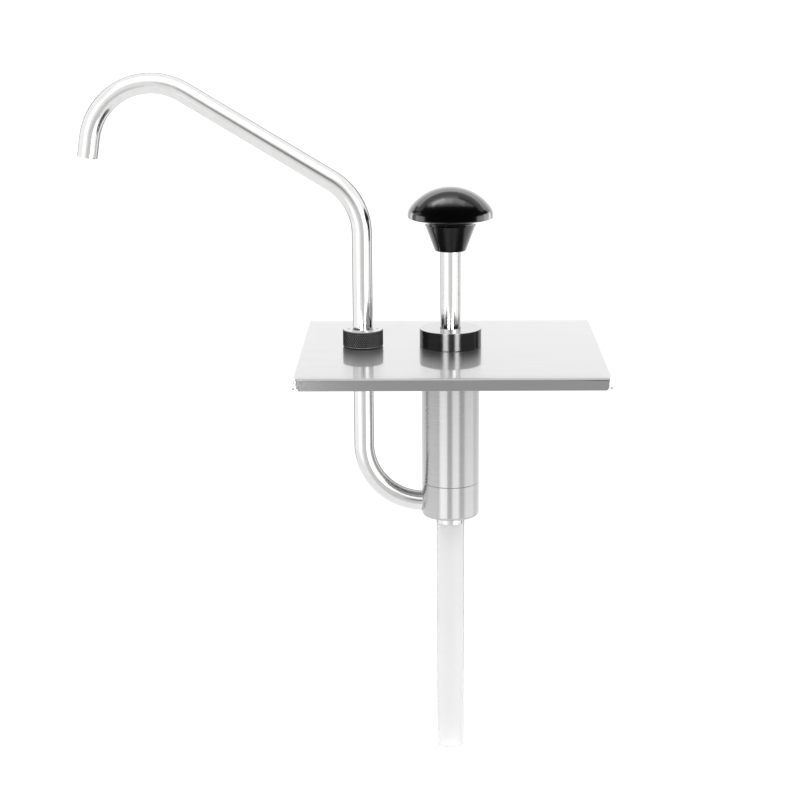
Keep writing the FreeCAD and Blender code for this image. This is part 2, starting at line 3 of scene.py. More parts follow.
import bmesh
import bpy
import numpy as np
from mathutils import Matrix, Vector


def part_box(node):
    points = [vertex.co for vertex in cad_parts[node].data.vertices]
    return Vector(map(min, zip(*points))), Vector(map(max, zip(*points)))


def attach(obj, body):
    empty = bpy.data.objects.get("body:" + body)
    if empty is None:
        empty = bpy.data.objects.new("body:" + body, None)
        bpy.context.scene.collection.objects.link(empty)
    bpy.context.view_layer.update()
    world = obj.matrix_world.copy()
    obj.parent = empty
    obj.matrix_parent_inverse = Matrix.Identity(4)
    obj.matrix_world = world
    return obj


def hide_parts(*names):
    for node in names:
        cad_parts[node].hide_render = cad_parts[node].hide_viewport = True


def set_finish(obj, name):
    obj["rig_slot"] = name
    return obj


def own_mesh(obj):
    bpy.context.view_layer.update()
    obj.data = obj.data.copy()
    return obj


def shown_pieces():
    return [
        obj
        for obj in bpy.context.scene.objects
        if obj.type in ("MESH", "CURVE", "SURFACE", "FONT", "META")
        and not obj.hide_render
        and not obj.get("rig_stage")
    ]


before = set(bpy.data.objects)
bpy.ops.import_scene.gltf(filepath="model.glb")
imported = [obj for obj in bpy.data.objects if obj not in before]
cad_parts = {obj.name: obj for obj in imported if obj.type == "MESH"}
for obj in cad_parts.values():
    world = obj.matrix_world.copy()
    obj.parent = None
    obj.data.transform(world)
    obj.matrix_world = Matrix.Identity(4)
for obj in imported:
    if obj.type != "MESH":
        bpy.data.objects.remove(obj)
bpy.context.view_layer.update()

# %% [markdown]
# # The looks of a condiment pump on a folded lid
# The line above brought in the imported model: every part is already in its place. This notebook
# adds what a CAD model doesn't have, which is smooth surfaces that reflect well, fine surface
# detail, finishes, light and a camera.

MM = 0.001

# %% [markdown]
# ## The camera
# The pump is seen from in front and a little above, from about 1.1 m away. A camera's own axes
# are: right along its X, up along its Y, and the view along its -Z. The three directions are
# worked out from three angles, how far it is turned, tipped down and rolled, and they become the
# columns of its matrix. The lens and the sensor's width are in millimetres.

# %% Camera
CAMERA_PLACE = Vector((-13 * MM, -1117 * MM, 244 * MM))
CAMERA_TURN, CAMERA_TIP, CAMERA_ROLL = (math.radians(a) for a in (0.90, 13.91, 0.39))
LENS, SENSOR = 85.5, 36.0

level_right = Vector((math.cos(CAMERA_TURN), math.sin(CAMERA_TURN), 0))
level_ahead = Vector((-math.sin(CAMERA_TURN), math.cos(CAMERA_TURN), 0))
ahead = level_ahead * math.cos(CAMERA_TIP) - Vector((0, 0, math.sin(CAMERA_TIP)))
upright = level_ahead * math.sin(CAMERA_TIP) + Vector((0, 0, math.cos(CAMERA_TIP)))
right = level_right * math.cos(CAMERA_ROLL) - upright * math.sin(CAMERA_ROLL)
up = upright * math.cos(CAMERA_ROLL) + level_right * math.sin(CAMERA_ROLL)

camera = bpy.data.objects.new("camera", bpy.data.cameras.new("camera"))
camera.data.lens, camera.data.sensor_width = LENS, SENSOR
camera.data.clip_start, camera.data.clip_end = 0.05, 100
facing_way = Matrix((right, up, -ahead)).transposed().to_4x4()
camera.matrix_world = Matrix.Translation(CAMERA_PLACE) @ facing_way
bpy.context.scene.collection.objects.link(camera)
bpy.context.scene.camera = camera
print("camera looks along", [round(c, 3) for c in ahead])

# %% [markdown]
# ## Surfaces from arrays
# Almost every part of a pump is turned on a lathe or bent from tube, so two kinds of surface make
# nearly all of it. Both are grids: an array of points with rows along the part and columns round
# it. One helper turns such an array into a mesh, closes it where it should close, and makes sure
# that its faces look outwards, by the sign of the volume that they enclose.

# %% A mesh from a grid of points
def grid_faces(rows, columns, close_rows, close_columns):
    """Each face joins a point to the next one along, the next across, and the one after both."""
    index = np.arange(rows * columns).reshape(rows, columns)
    along, across = np.roll(index, -1, 0), np.roll(index, -1, 1)
    faces = np.stack([index, along, np.roll(along, -1, 1), across], -1)
    faces = faces[: rows if close_rows else rows - 1, : columns if close_columns else columns - 1]
    return faces.reshape(-1, 4)


def enclosed_volume(points, faces):
    """Each face is two triangles. The volume is a sixth of the sum, over the triangles, of one
    corner dotted with the cross product of the other two."""
    a, b, c, d = (points[faces[:, k]] for k in range(4))
    halves = np.einsum("ij,ij->i", a, np.cross(b, c)) + np.einsum("ij,ij->i", a, np.cross(c, d))
    return halves.sum() / 6


def mesh_of(name, points, faces, weld=1e-7):
    """A smooth object from an array of points and one of four-cornered faces. Points nearer than
    the weld, in metres, become one, which closes poles and seams."""
    mesh = bpy.data.meshes.new(name)
    mesh.vertices.add(len(points))
    mesh.vertices.foreach_set("co", points.astype(np.float32).ravel())
    mesh.loops.add(faces.size)
    mesh.loops.foreach_set("vertex_index", faces.astype(np.int32).ravel())
    mesh.polygons.add(len(faces))
    mesh.polygons.foreach_set("loop_start", np.arange(0, faces.size, 4, dtype=np.int32))
    mesh.update(calc_edges=True)
    work = bmesh.new()
    work.from_mesh(mesh)
    bmesh.ops.remove_doubles(work, verts=work.verts, dist=weld)
    work.to_mesh(mesh)
    work.free()
    mesh.shade_smooth()
    made = bpy.data.objects.new(name, mesh)
    bpy.context.scene.collection.objects.link(made)
    return made


def mesh_piece(name, points, faces, body, slot_name, stands_for=(), weld=1e-7):
    """A piece of the pump, its faces outwards, from a grid of points in millimetres. It rides on
    a body, takes its finish from a slot of the record, and stands for the CAD nodes that it is
    drawn over."""
    points = points.reshape(-1, 3) * MM
    if enclosed_volume(points, faces) < 0:
        faces = faces[:, ::-1]
    piece = mesh_of(name, points, faces, weld)
    mesh = piece.data
    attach(piece, body)
    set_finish(piece, slot_name)
    if stands_for:
        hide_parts(*stands_for)
    print(f"{name}: {len(mesh.vertices)} points, {len(mesh.polygons)} faces")
    return piece


# %% [markdown]
# A lathe cuts a profile. Here a profile is a short list of corners, each with a radius, a height
# and how far it is rounded, in millimetres. Real edges are never quite sharp: the small rounding
# is what catches a thin line of light. Each corner becomes a short curve, and a point is added
# close to each end of the curve, so that the smooth shading of the curve doesn't bleed into the
# flat face beside it.

# %% Rounded profiles, turned
LARGEST_SHARE = 0.36


def rounded(corners, closed=True, steps=6):
    """Each corner P between neighbours A and B becomes the curve (1-t)^2 S + 2t(1-t) P + t^2 E,
    where S and E lie on the sides towards A and B, as far from P as the rounding says, and one
    more point follows on each side a third of that further out. No rounding takes more than the
    largest share of a side."""
    corners = np.asarray(corners, float)
    place, size = corners[:, :2], corners[:, 2:3]
    towards_a = np.roll(place, 1, 0) - place
    towards_b = np.roll(place, -1, 0) - place
    length_a = np.linalg.norm(towards_a, axis=1, keepdims=True)
    length_b = np.linalg.norm(towards_b, axis=1, keepdims=True)
    size = np.minimum(size, LARGEST_SHARE * np.minimum(length_a, length_b))
    start, end = place + towards_a / length_a * size, place + towards_b / length_b * size
    before, after = start + towards_a / length_a * size / 3, end + towards_b / length_b * size / 3
    t = np.linspace(0, 1, steps)[None, :, None]
    curve = (1 - t) ** 2 * start[:, None] + 2 * t * (1 - t) * place[:, None] + t**2 * end[:, None]
    rows = np.concatenate([before[:, None], curve, after[:, None]], 1)
    if not closed:
        rows[0], rows[-1] = place[0], place[-1]
    return rows.reshape(-1, 2)


def round_angles(count):
    """Angles evenly spaced round a circle."""
    return np.arange(count) / count * 2 * np.pi


def turned_points(profile, axis_x, columns):
    """At radius r, height z and angle a, the point is (axis + r cos a, r sin a, z)."""
    angle = round_angles(columns)
    radius, height = profile[:, :1], profile[:, 1:]
    x, y = axis_x + radius * np.cos(angle), radius * np.sin(angle)
    return np.stack([x, y, height + 0 * angle], -1)


def turned(name, node, profile, body, slot_name, axis_x=0.0, closed=True, columns=160):
    """A turned piece, drawn over a CAD node."""
    points = turned_points(profile, axis_x, columns)
    faces = grid_faces(len(profile), columns, closed, True)
    return mesh_piece(name, points, faces, body, slot_name, [node])


# %% [markdown]
# A bent tube is a circle carried along a route. The route is a list of runs, each with a length
# and the angle that it turns through, so a straight run turns through nothing. The chord of an
# arc points midway between its two headings, and its length is the arc's length times
# sin(h) / h, where h is half of the angle turned.

# %% Bent tubes
PIPE_OUTER, PIPE_INNER, PIPE_EDGE = 6.0, 5.0, 0.18


def route_point(distance, start, heading, runs):
    """The place (x, z) and heading at each distance along a route of runs."""
    lengths, turns = np.array(runs, float).T
    starts = np.concatenate([[0], np.cumsum(lengths)])
    headings = heading + np.concatenate([[0], np.cumsum(turns)])
    half = turns / 2
    chords = lengths * np.sinc(half / np.pi)
    middles = headings[:-1] + half
    steps = np.stack([chords * np.cos(middles), chords * np.sin(middles)], -1)
    joints = np.concatenate([[start], start + np.cumsum(steps, 0)])
    run = np.clip(np.searchsorted(starts, distance, "right") - 1, 0, len(runs) - 1)
    local = distance - starts[run]
    turned_by = turns[run] / lengths[run] * local
    reach = local * np.sinc(turned_by / 2 / np.pi)
    middle = headings[run] + turned_by / 2
    place = joints[run] + np.stack([reach * np.cos(middle), reach * np.sin(middle)], -1)
    return place, headings[run] + turned_by


def tube_piece(name, node, start, heading, runs, body, columns=96, pitch=1.5):
    """A tube along a route in the plane y = 0: at distance s and angle a, the point is
    P(s) + r cos a N(s) + r sin a Y, where N is the heading turned a quarter. The rows run along
    the outside, over the end, back along the bore and over the start, so the wall is closed."""
    total = sum(length for length, _ in runs)
    outer, inner, edge = PIPE_OUTER, PIPE_INNER, PIPE_EDGE
    along = np.linspace(edge, total - edge, int(total / pitch))
    t = np.linspace(0, 1, 5)
    round_off = edge * (1 - np.sqrt(1 - t**2))
    tip = total - edge + edge * t
    outside = np.stack([along, 0 * along + outer], -1)
    over_end = np.stack([tip, outer - round_off], -1)
    bore_end = np.stack([tip[::-1], inner + round_off[::-1]], -1)
    bore = np.stack([along[::-1], 0 * along + inner], -1)
    over_bore = np.stack([edge * (1 - t), inner + round_off], -1)
    over_start = np.stack([edge * t, outer - round_off[::-1]], -1)
    rows = np.concatenate([outside, over_end, bore_end, bore, over_bore, over_start])
    place, way = route_point(rows[:, 0], np.array(start, float), heading, runs)
    angle = round_angles(columns)
    aside = rows[:, 1:] * np.cos(angle)
    points = np.stack([
        place[:, :1] - aside * np.sin(way)[:, None],
        rows[:, 1:] * np.sin(angle),
        place[:, 1:] + aside * np.cos(way)[:, None],
    ], -1)
    faces = grid_faces(len(rows), columns, True, True)
    return mesh_piece(name, points, faces, body, "pipe_steel", [node])


# %% [markdown]
# ## The lid
# The lid is one sheet, 1 mm thick, with its four edges folded down and the corners left open.
# It is drawn as the sheet's upper skin first, and a Solidify modifier gives it its thickness.
# The flat part is two rectangles side by side, one round each hole. Rings of points run from the
# hole out to the rectangle's edge, so the mesh is fine and even where the hole is cut. Each
# folded edge is a strip that goes round a quarter circle and then straight down, and the two
# lower corners of each strip are rounded.

# %% Lid
LID_LEFT, LID_RIGHT, LID_FRONT, LID_BACK = -88.0, 88.0, -86.0, 76.0
LID_TOP, SHEET, LIP_EDGE = 1.0, 1.0, -6.0
BEND, LIP_CORNER = 1.5, 2.0
CORNER_POINTS, LIP_ROWS = 9, 7
PUMP_HOLE, UNION_HOLE, UNION_X = 13.8, 9.3, -52.5
CELL_EDGE, STEP = -30.0, 2.0


def stations(low, high):
    """Places along a folded edge: 2 mm apart, and closer in the last 2 mm at each end."""
    near = np.linspace(0, LIP_CORNER, CORNER_POINTS)[:-1]
    middle = np.arange(low + LIP_CORNER, high - LIP_CORNER + STEP / 2, STEP)
    return np.concatenate([low + near, middle, high - near[::-1]])


def cell(left, right, centre_x, hole, rings=16):
    """Between the hole's circle C and the rectangle's edge E, ring t lies at C + (E - C) t^2."""
    x, y = stations(LID_LEFT, LID_RIGHT), stations(LID_FRONT, LID_BACK)
    x = x[(x > left - 1e-6) & (x < right + 1e-6)]
    edge = np.concatenate([
        np.stack([x[:-1], 0 * x[:-1] + LID_FRONT], -1),
        np.stack([0 * y[:-1] + right, y[:-1]], -1),
        np.stack([x[:0:-1], 0 * x[:0:-1] + LID_BACK], -1),
        np.stack([0 * y[:0:-1] + left, y[:0:-1]], -1),
    ])
    outward = edge - [centre_x, 0]
    circle = [centre_x, 0] + outward / np.linalg.norm(outward, axis=1, keepdims=True) * hole
    t = (np.linspace(0, 1, rings) ** 2)[:, None, None]
    flat = circle + (edge - circle) * t
    points = np.concatenate([flat, np.full(flat.shape[:2] + (1,), LID_TOP)], -1)
    return points.reshape(-1, 3), grid_faces(rings, len(edge), False, True)


def lip(along_x, fixed, outward):
    """Down the strip: a quarter circle of the bend's radius, then straight down to the edge,
    which rises by 2 - sqrt(4 - (2 - d)^2) where it is d, under 2 mm, from the strip's end."""
    low, high = (LID_LEFT, LID_RIGHT) if along_x else (LID_FRONT, LID_BACK)
    along = stations(low, high)
    from_end = np.minimum(np.minimum(along - low, high - along), LIP_CORNER)
    rise = LIP_CORNER - np.sqrt(LIP_CORNER**2 - (LIP_CORNER - from_end) ** 2)
    quarter = np.linspace(0, np.pi / 2, CORNER_POINTS)
    fold = LID_TOP - BEND
    share = np.linspace(0, 1, LIP_ROWS + 1)[1:, None]
    bend_height = np.repeat(fold + BEND * np.cos(quarter)[:, None], len(along), 1)
    height = np.concatenate([bend_height, fold + (LIP_EDGE + rise - fold) * share])
    out = np.concatenate([BEND * np.sin(quarter), np.full(LIP_ROWS, BEND)])[:, None] + 0 * along
    sideways = fixed + outward * out
    level = along + 0 * out
    points = np.stack([level, sideways, height] if along_x else [sideways, level, height], -1)
    return points.reshape(-1, 3), grid_faces(len(out), len(along), False, False)


def joined(patches):
    """One array of points and one of faces; each patch's faces count on from the patch before."""
    counts = np.cumsum([0] + [len(points) for points, _ in patches])
    points = np.concatenate([points for points, _ in patches])
    faces = np.concatenate([faces + start for (_, faces), start in zip(patches, counts)])
    return points, faces


def faced(patch, towards):
    """A patch is points and faces. They are reversed if the first one looks the wrong way."""
    points, faces = patch
    a, b, c = (points[faces[0, k]] for k in range(3))
    return points, faces if np.dot(np.cross(b - a, c - a), towards) > 0 else faces[:, ::-1]


lid_points, lid_faces = joined([
    faced(cell(LID_LEFT, CELL_EDGE, UNION_X, UNION_HOLE), (0, 0, 1)),
    faced(cell(CELL_EDGE, LID_RIGHT, 0.0, PUMP_HOLE), (0, 0, 1)),
    faced(lip(True, LID_FRONT, -1), (0, -1, 1)),
    faced(lip(True, LID_BACK, 1), (0, 1, 1)),
    faced(lip(False, LID_LEFT, -1), (-1, 0, 1)),
    faced(lip(False, LID_RIGHT, 1), (1, 0, 1)),
])


def finished_mesh(piece, sharp_degrees):
    """The piece's modifiers are made permanent, and edges sharper than the angle stay crisp."""
    bpy.context.view_layer.update()
    seen = piece.evaluated_get(bpy.context.evaluated_depsgraph_get())
    piece.data = bpy.data.meshes.new_from_object(seen)
    piece.modifiers.clear()
    piece.data.shade_smooth()
    piece.data.set_sharp_from_angle(angle=math.radians(sharp_degrees))
    print(f"  {piece.name} finished: {len(piece.data.polygons)} faces")


lid = mesh_piece("lid", lid_points, lid_faces, "pump", "lid_steel", ["lid_plate"], weld=1e-6)
thick = lid.modifiers.new("thickness", "SOLIDIFY")
thick.thickness, thick.offset, thick.use_even_offset, thick.use_rim = SHEET * MM, -1, True, True
finished_mesh(lid, 40)
eased = lid.modifiers.new("eased edges", "BEVEL")
eased.width, eased.segments, eased.limit_method = 0.12 * MM, 2, "ANGLE"
eased.angle_limit = math.radians(50)
finished_mesh(lid, 50)
# A flat pattern of grain runs along X on every face: the mesh's texture space is centred far
# behind the lid, so the direction round that centre is everywhere the direction of X.
lid.data.use_auto_texspace = False
lid.data.texspace_location, lid.data.texspace_size = (0, 100, 0), (1, 1, 1)

# %% [markdown]
# ## The turned parts
# The collar is a plain ring with a smooth black finish, which clamps the pump to the lid. The rod
# comes out of it through a rubber wiper under its roof. The barrel hangs below the lid,
# and the valve body screws up into its end with a fine groove where they meet. All of them are
# profiles from the CAD sizes, in millimetres: radius, height, rounding.

# %% Collar, wiper, barrel and valve body
COLLAR_TOP, COLLAR_RADIUS = 12.0, 18.5
turned("collar", "clamp_collar", rounded([
    (13.55, 1.0, 0.1), (COLLAR_RADIUS, 1.0, 0.4), (COLLAR_RADIUS, COLLAR_TOP, 0.4),
    (6.3, COLLAR_TOP, 0.2), (6.3, 11.0, 0.05), (8.52, 11.0, 0.05), (8.52, 9.5, 0.05),
    (13.55, 9.5, 0.05)]), "pump", "gloss_black", columns=192)

turned("wiper", "rod_wiper", rounded([
    (6.05, 9.5, 0.05), (8.5, 9.5, 0.1), (8.5, 11.0, 0.1), (6.05, 11.0, 0.1)]),
    "pump", "black_rubber", columns=96)

BARREL_RADIUS, SEAM, FOOT = 17.5, -83.4, -104.435
turned("barrel", "pump_barrel", rounded([
    (9.02, 8.0, 0.1), (13.5, 8.0, 0.3), (13.5, -0.9, 0.1), (BARREL_RADIUS, -0.9, 0.3),
    (BARREL_RADIUS, SEAM + 0.25, 0.08), (BARREL_RADIUS - 0.25, SEAM, 0.05), (16.3, SEAM, 0.05),
    (16.3, -74.4, 0.05), (15.5, -74.4, 0.05), (15.5, -5.9, 0.1), (9.02, -5.9, 0.1)]),
    "pump", "pump_steel", columns=192)

turned("valve_housing", "valve_body", rounded([
    (6.52, FOOT, 0.2), (BARREL_RADIUS, FOOT, 2.0), (BARREL_RADIUS, SEAM - 0.25, 0.08),
    (BARREL_RADIUS - 0.25, SEAM, 0.05), (16.25, SEAM, 0.05), (16.25, -75.0, 0.1),
    (14.2, -75.0, 0.1), (14.2, -88.0, 0.1), (7.5, -88.0, 0.1), (7.5, -100.135, 0.1),
    (6.52, -100.135, 0.1)], steps=8), "pump", "pump_steel", columns=192)

# %% [markdown]
# The inlet nipple screws into the bottom, with a thin seal under its shoulder. Its stem has fine
# ribs that hold the frosted suction tube. The ribs are worked out with the profile: a row of
# saw teeth, each rising slowly and dropping back at once.

# %% Nipple, its seal and the suction tube
NIPPLE_SHOULDER, TUBE_TOP, NIPPLE_END, TUBE_END = -105.435, -109.435, -122.635, -256.035
RIB_PITCH, RIB_DEPTH, STEM = 3.2, 0.35, 6.45
rib = np.arange(1, int((TUBE_TOP - NIPPLE_END) / RIB_PITCH))
rib_rows = np.stack([
    np.stack([STEM + 0 * rib, TUBE_TOP - RIB_PITCH * rib + 0.3, 0.05 + 0 * rib], -1),
    np.stack([STEM - RIB_DEPTH + 0 * rib, TUBE_TOP - RIB_PITCH * rib, 0.05 + 0 * rib], -1)], 1)
turned("inlet_nipple", "suction_nipple", rounded([
    (5.0, NIPPLE_END, 0.15), (5.0, -104.0, 0.1), (3.9, -103.6, 0.1), (3.9, -101.635, 0.1),
    (5.4, -100.135, 0.1), (6.5, -100.135, 0.1), (6.5, NIPPLE_SHOULDER, 0.05),
    (8.5, NIPPLE_SHOULDER, 0.35), (8.5, TUBE_TOP, 0.15), (STEM, TUBE_TOP, 0.05),
    *rib_rows.reshape(-1, 3), (STEM, NIPPLE_END, 0.4)]), "pump", "polished_steel", columns=96)

turned("inlet_seal", "nipple_seal", rounded([
    (6.55, NIPPLE_SHOULDER, 0.1), (8.3, NIPPLE_SHOULDER, 0.3), (8.3, FOOT, 0.3),
    (6.55, FOOT, 0.1)]), "pump", "silicone_seal", columns=96)

tube_wall = np.linspace(TUBE_TOP, TUBE_END, 30)[1:-1]
TUBE_OUTER, TUBE_INNER = 8.5, 6.5
turned("tube", "suction_tube", rounded([
    (TUBE_INNER, TUBE_END, 0.25), (TUBE_OUTER, TUBE_END, 0.3),
    *[(TUBE_OUTER, height, 0.1) for height in tube_wall[::-1]], (TUBE_OUTER, TUBE_TOP, 0.3),
    (TUBE_INNER, TUBE_TOP, 0.25)]), "pump", "frosted_tube", columns=96)

# %% [markdown]
# ## The plunger rod and the knob
# The rod is a plain polished bar with a threaded stud at each end. The knob is one moulding: a
# conical skirt, a small step, a wide shallow cone out to the rim, a narrow upright band, and a
# dome of two arcs, a tight one at the shoulder and a wide one over the crown. The dome is a
# curve already, so its points go into the profile as they are.

# %% Rod and knob
turned("rod", "plunger_rod", rounded([
    (0.0, -30.95, 0.0), (4.0, -30.95, 0.8), (4.0, -7.95, 0.05), (6.0, -7.95, 0.2),
    (6.0, 62.9, 0.2), (4.0, 62.9, 0.05), (4.0, 77.9, 0.8), (0.0, 77.9, 0.0)], closed=False),
    "plunger", "polished_steel", closed=False, columns=128)

SKIRT_END, SKIRT_TOP, RIM_LOW, RIM_HIGH, DOME_TOP = 58.9, 74.8, 79.0, 80.0, 96.9
RIM_RADIUS, SHOULDER, SKIRT_RADIUS, NECK_RADIUS, SKIRT_FOOT = 25.6, 8.4, 15.4, 14.9, 9.4


def dome(steps=32):
    """Two arcs that meet without a corner: the shoulder's turns up from the rim, and the crown's
    closes the top. For a shoulder of radius s, set in by i, and a dome of height h, the crown's
    radius is (i^2 + h^2 - s^2) / (2 (h - s))."""
    inset, height = RIM_RADIUS - SHOULDER, DOME_TOP - RIM_HIGH
    crown = (inset**2 + height**2 - SHOULDER**2) / (2 * (height - SHOULDER))
    meeting = math.atan2(crown - height, inset)
    a = np.linspace(0, meeting, steps)
    b = np.linspace(meeting, np.pi / 2, steps)[1:]
    return np.concatenate([
        np.stack([inset + SHOULDER * np.cos(a), RIM_HIGH + SHOULDER * np.sin(a)], -1),
        np.stack([crown * np.cos(b), DOME_TOP - crown + crown * np.sin(b)], -1)])


knob_low = rounded([
    (0.0, 62.9, 0.0), (6.02, 62.9, 0.1), (6.02, SKIRT_END, 0.15), (SKIRT_FOOT, SKIRT_END, 0.45),
    (SKIRT_RADIUS, SKIRT_TOP - 0.25, 0.3), (NECK_RADIUS, SKIRT_TOP, 0.1),
    (NECK_RADIUS, SKIRT_TOP + 0.5, 0.3), (RIM_RADIUS - 0.6, RIM_LOW - 0.6, 0.3),
    (RIM_RADIUS, RIM_LOW, 0.3), (RIM_RADIUS, RIM_HIGH - 0.4, 0.0)], closed=False)
turned("knob_moulding", "knob", np.concatenate([knob_low, dome()]),
       "plunger", "knob_black", closed=False, columns=192)

# %% [markdown]
# ## The union
# Where the spout comes through the lid, a knurled nut holds it. Knurling is two sets of fine
# grooves that lean opposite ways, so what stands between them is a field of small pyramids. Each
# set is a triangle wave along its own slanted line, and the height of the surface is the lower of
# the two. Two small holes in its top take a pin spanner. They are cut with a Boolean, which is
# the simple way to put a round hole into a face whose points run round another centre.

# %% Knurled nut
NUT_RADIUS, NUT_LOW, NUT_HIGH = 12.15, 1.0, 11.5
KNURL_ROUND, KNURL_PITCH, KNURL_DEPTH = 52, 2.2, 0.45
KNURL_FROM, KNURL_TO = 2.1, 10.9
RELIEF, COLUMNS_A_TOOTH = 0.12, 8
PIN_RADIUS, PIN_BOTTOM, PIN_OUT, PIN_COLUMNS = 0.8, 10.6, 8.4, 24


def zigzag(x):
    """A triangle wave between 0 and 1, with one peak for each whole number."""
    return 1 - np.abs(2 * (x - np.floor(x)) - 1)


nut_columns = KNURL_ROUND * COLUMNS_A_TOOTH
band_radius = NUT_RADIUS - RELIEF
nut_side = np.linspace(KNURL_FROM, KNURL_TO, 60)
nut_profile = np.concatenate([
    rounded([(9.05, 9.9, 0.0), (9.05, NUT_LOW + 0.1, 0.2), (NUT_RADIUS - 0.6, NUT_LOW, 0.15),
             (band_radius, KNURL_FROM - 0.35, 0.15), (band_radius, KNURL_FROM, 0.0)],
            closed=False),
    np.stack([0 * nut_side + NUT_RADIUS, nut_side], -1),
    rounded([(band_radius, KNURL_TO, 0.0), (band_radius, KNURL_TO + 0.2, 0.1),
             (NUT_RADIUS - 0.5, NUT_HIGH, 0.15), (6.08, NUT_HIGH, 0.3), (6.08, 10.0, 0.1),
             (9.05, 10.0, 0.0)], closed=False)])
nut_points = turned_points(nut_profile, 0.0, nut_columns)
turn = np.arange(nut_columns) / nut_columns * KNURL_ROUND
climb = (nut_points[..., 2] - KNURL_FROM) / KNURL_PITCH
pyramid = np.minimum(zigzag(turn + climb), zigzag(turn - climb))
on_side = (nut_profile[:, 0] > NUT_RADIUS - 0.01)[:, None]
shrink = np.where(on_side, 1 - KNURL_DEPTH / NUT_RADIUS * (1 - pyramid), 1.0)
nut_points[..., :2] *= shrink[..., None]
nut_points[..., 0] += UNION_X
nut_faces = grid_faces(len(nut_profile), nut_columns, True, True)
nut = mesh_piece("nut", nut_points, nut_faces, "union_nut", "knurled_black", ["union_nut"])

pin_profile = np.array([(0, PIN_BOTTOM), (PIN_RADIUS - 0.25, PIN_BOTTOM),
                        (PIN_RADIUS, PIN_BOTTOM + 0.15), (PIN_RADIUS, NUT_HIGH + 0.5),
                        (0, NUT_HIGH + 0.5)])
pin = turned_points(pin_profile, 0.0, PIN_COLUMNS)
pin_faces = grid_faces(len(pin_profile), PIN_COLUMNS, False, True)
for side in (-1, 1):
    cutter = mesh_piece(f"pin_{side + 1}", pin + [UNION_X + side * PIN_OUT, 0, 0], pin_faces,
                        "union_nut", "knurled_black")
    cut = nut.modifiers.new("spanner hole", "BOOLEAN")
    cut.operation, cut.object, cut.solver = "DIFFERENCE", cutter, "EXACT"
finished_mesh(nut, 38)
for side in (0, 2):
    bpy.data.objects.remove(bpy.data.objects[f"pin_{side}"])

# %% [markdown]
# Under the nut, the spout's own collar stops it being pulled out, a thin slip washer lets it
# turn, and the threaded fitting, which stays as CAD drew it, goes down through the lid.

# %% The spout's collar and its slip washer
turned("spout_ring", "spout_collar", rounded([
    (6.02, 7.4, 0.1), (8.5, 7.4, 0.2), (8.5, 9.4, 0.2), (6.02, 9.4, 0.1)]),
    "spout", "pipe_steel", UNION_X, columns=96)
turned("slip_ring", "slip_washer", rounded([
    (6.1, 9.5, 0.05), (8.6, 9.5, 0.1), (8.6, 10.0, 0.1), (6.1, 10.0, 0.05)]),
    "union_nut", "slip_plastic", UNION_X, columns=96)

# %% [markdown]
# ## The spout and the riser
# The spout is one tube: up from the union, over an elbow, along a rising arm and round an arch,
# with a short straight end that points down. Under the lid the riser brings the sauce from the
# pump to the union in one wide bend. Both are routes of straight runs and arcs.

# %% Spout and riser
def arc(radius, degrees):
    """A run of the given radius that turns through an angle."""
    return radius * math.radians(degrees), math.radians(degrees)


ARM_ANGLE, TIP_LEAN, SPOUT_BEND, RISER_BEND = 31.3, 9.0, 37.3, 36.0
spout = tube_piece("spout", "spout_pipe", (UNION_X, -3.4), math.pi / 2,
                   [(72.458, 0), arc(SPOUT_BEND, 90 - ARM_ANGLE), (99.595, 0),
                    arc(SPOUT_BEND, 90 + ARM_ANGLE - TIP_LEAN), (11.7, 0)], "spout")
riser = tube_piece("riser", "riser_pipe", (UNION_X, -19.82), -math.pi / 2,
                   [(40.22, 0), arc(RISER_BEND, 90), (3.0, 0)], "pump")
for piece, node in ((spout, "spout_pipe"), (riser, "riser_pipe")):
    drawn = np.array([v.co for v in piece.data.vertices])
    low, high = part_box(node)
    print(f"  {piece.name} against its CAD box (mm):",
          np.round((drawn.min(0) - low) / MM, 2), np.round((drawn.max(0) - high) / MM, 2))

# %% [markdown]
# The riser is brazed into the side of the valve body. A brazed joint has a small hollow fillet of
# metal all round it. The barrel is round, so the fillet isn't flat: it starts on the barrel's
# surface and curves out along the riser.

# %% Braze fillet
BRAZE_WIDTH, BRAZE_SUNK, RISER_LEVEL, BRAZE_COLUMNS = 0.7, 0.4, -96.035, 96


def saddle(reach, lift, angle):
    """Round the riser at each reach p from its axis: x = -(sqrt(R^2 - (p sin a)^2) + lift)."""
    aside = reach * np.sin(angle)
    return np.stack([-(np.sqrt(BARREL_RADIUS**2 - aside**2) + lift), aside + 0 * lift,
                     RISER_LEVEL + reach * np.cos(angle) + 0 * lift], -1)


t = np.linspace(0, 1, 12)[:, None]
braze_reach = PIPE_OUTER + np.concatenate([
    BRAZE_WIDTH * (1 - t) ** 2, [[-BRAZE_SUNK], [-BRAZE_SUNK], [BRAZE_WIDTH]]])
braze_lift = np.concatenate([BRAZE_WIDTH * t**2, [[BRAZE_WIDTH], [-BRAZE_SUNK], [-BRAZE_SUNK]]])
mesh_piece("braze", saddle(braze_reach, braze_lift, round_angles(BRAZE_COLUMNS)),
           grid_faces(len(braze_reach), BRAZE_COLUMNS, True, True), "pump", "fitting_steel")
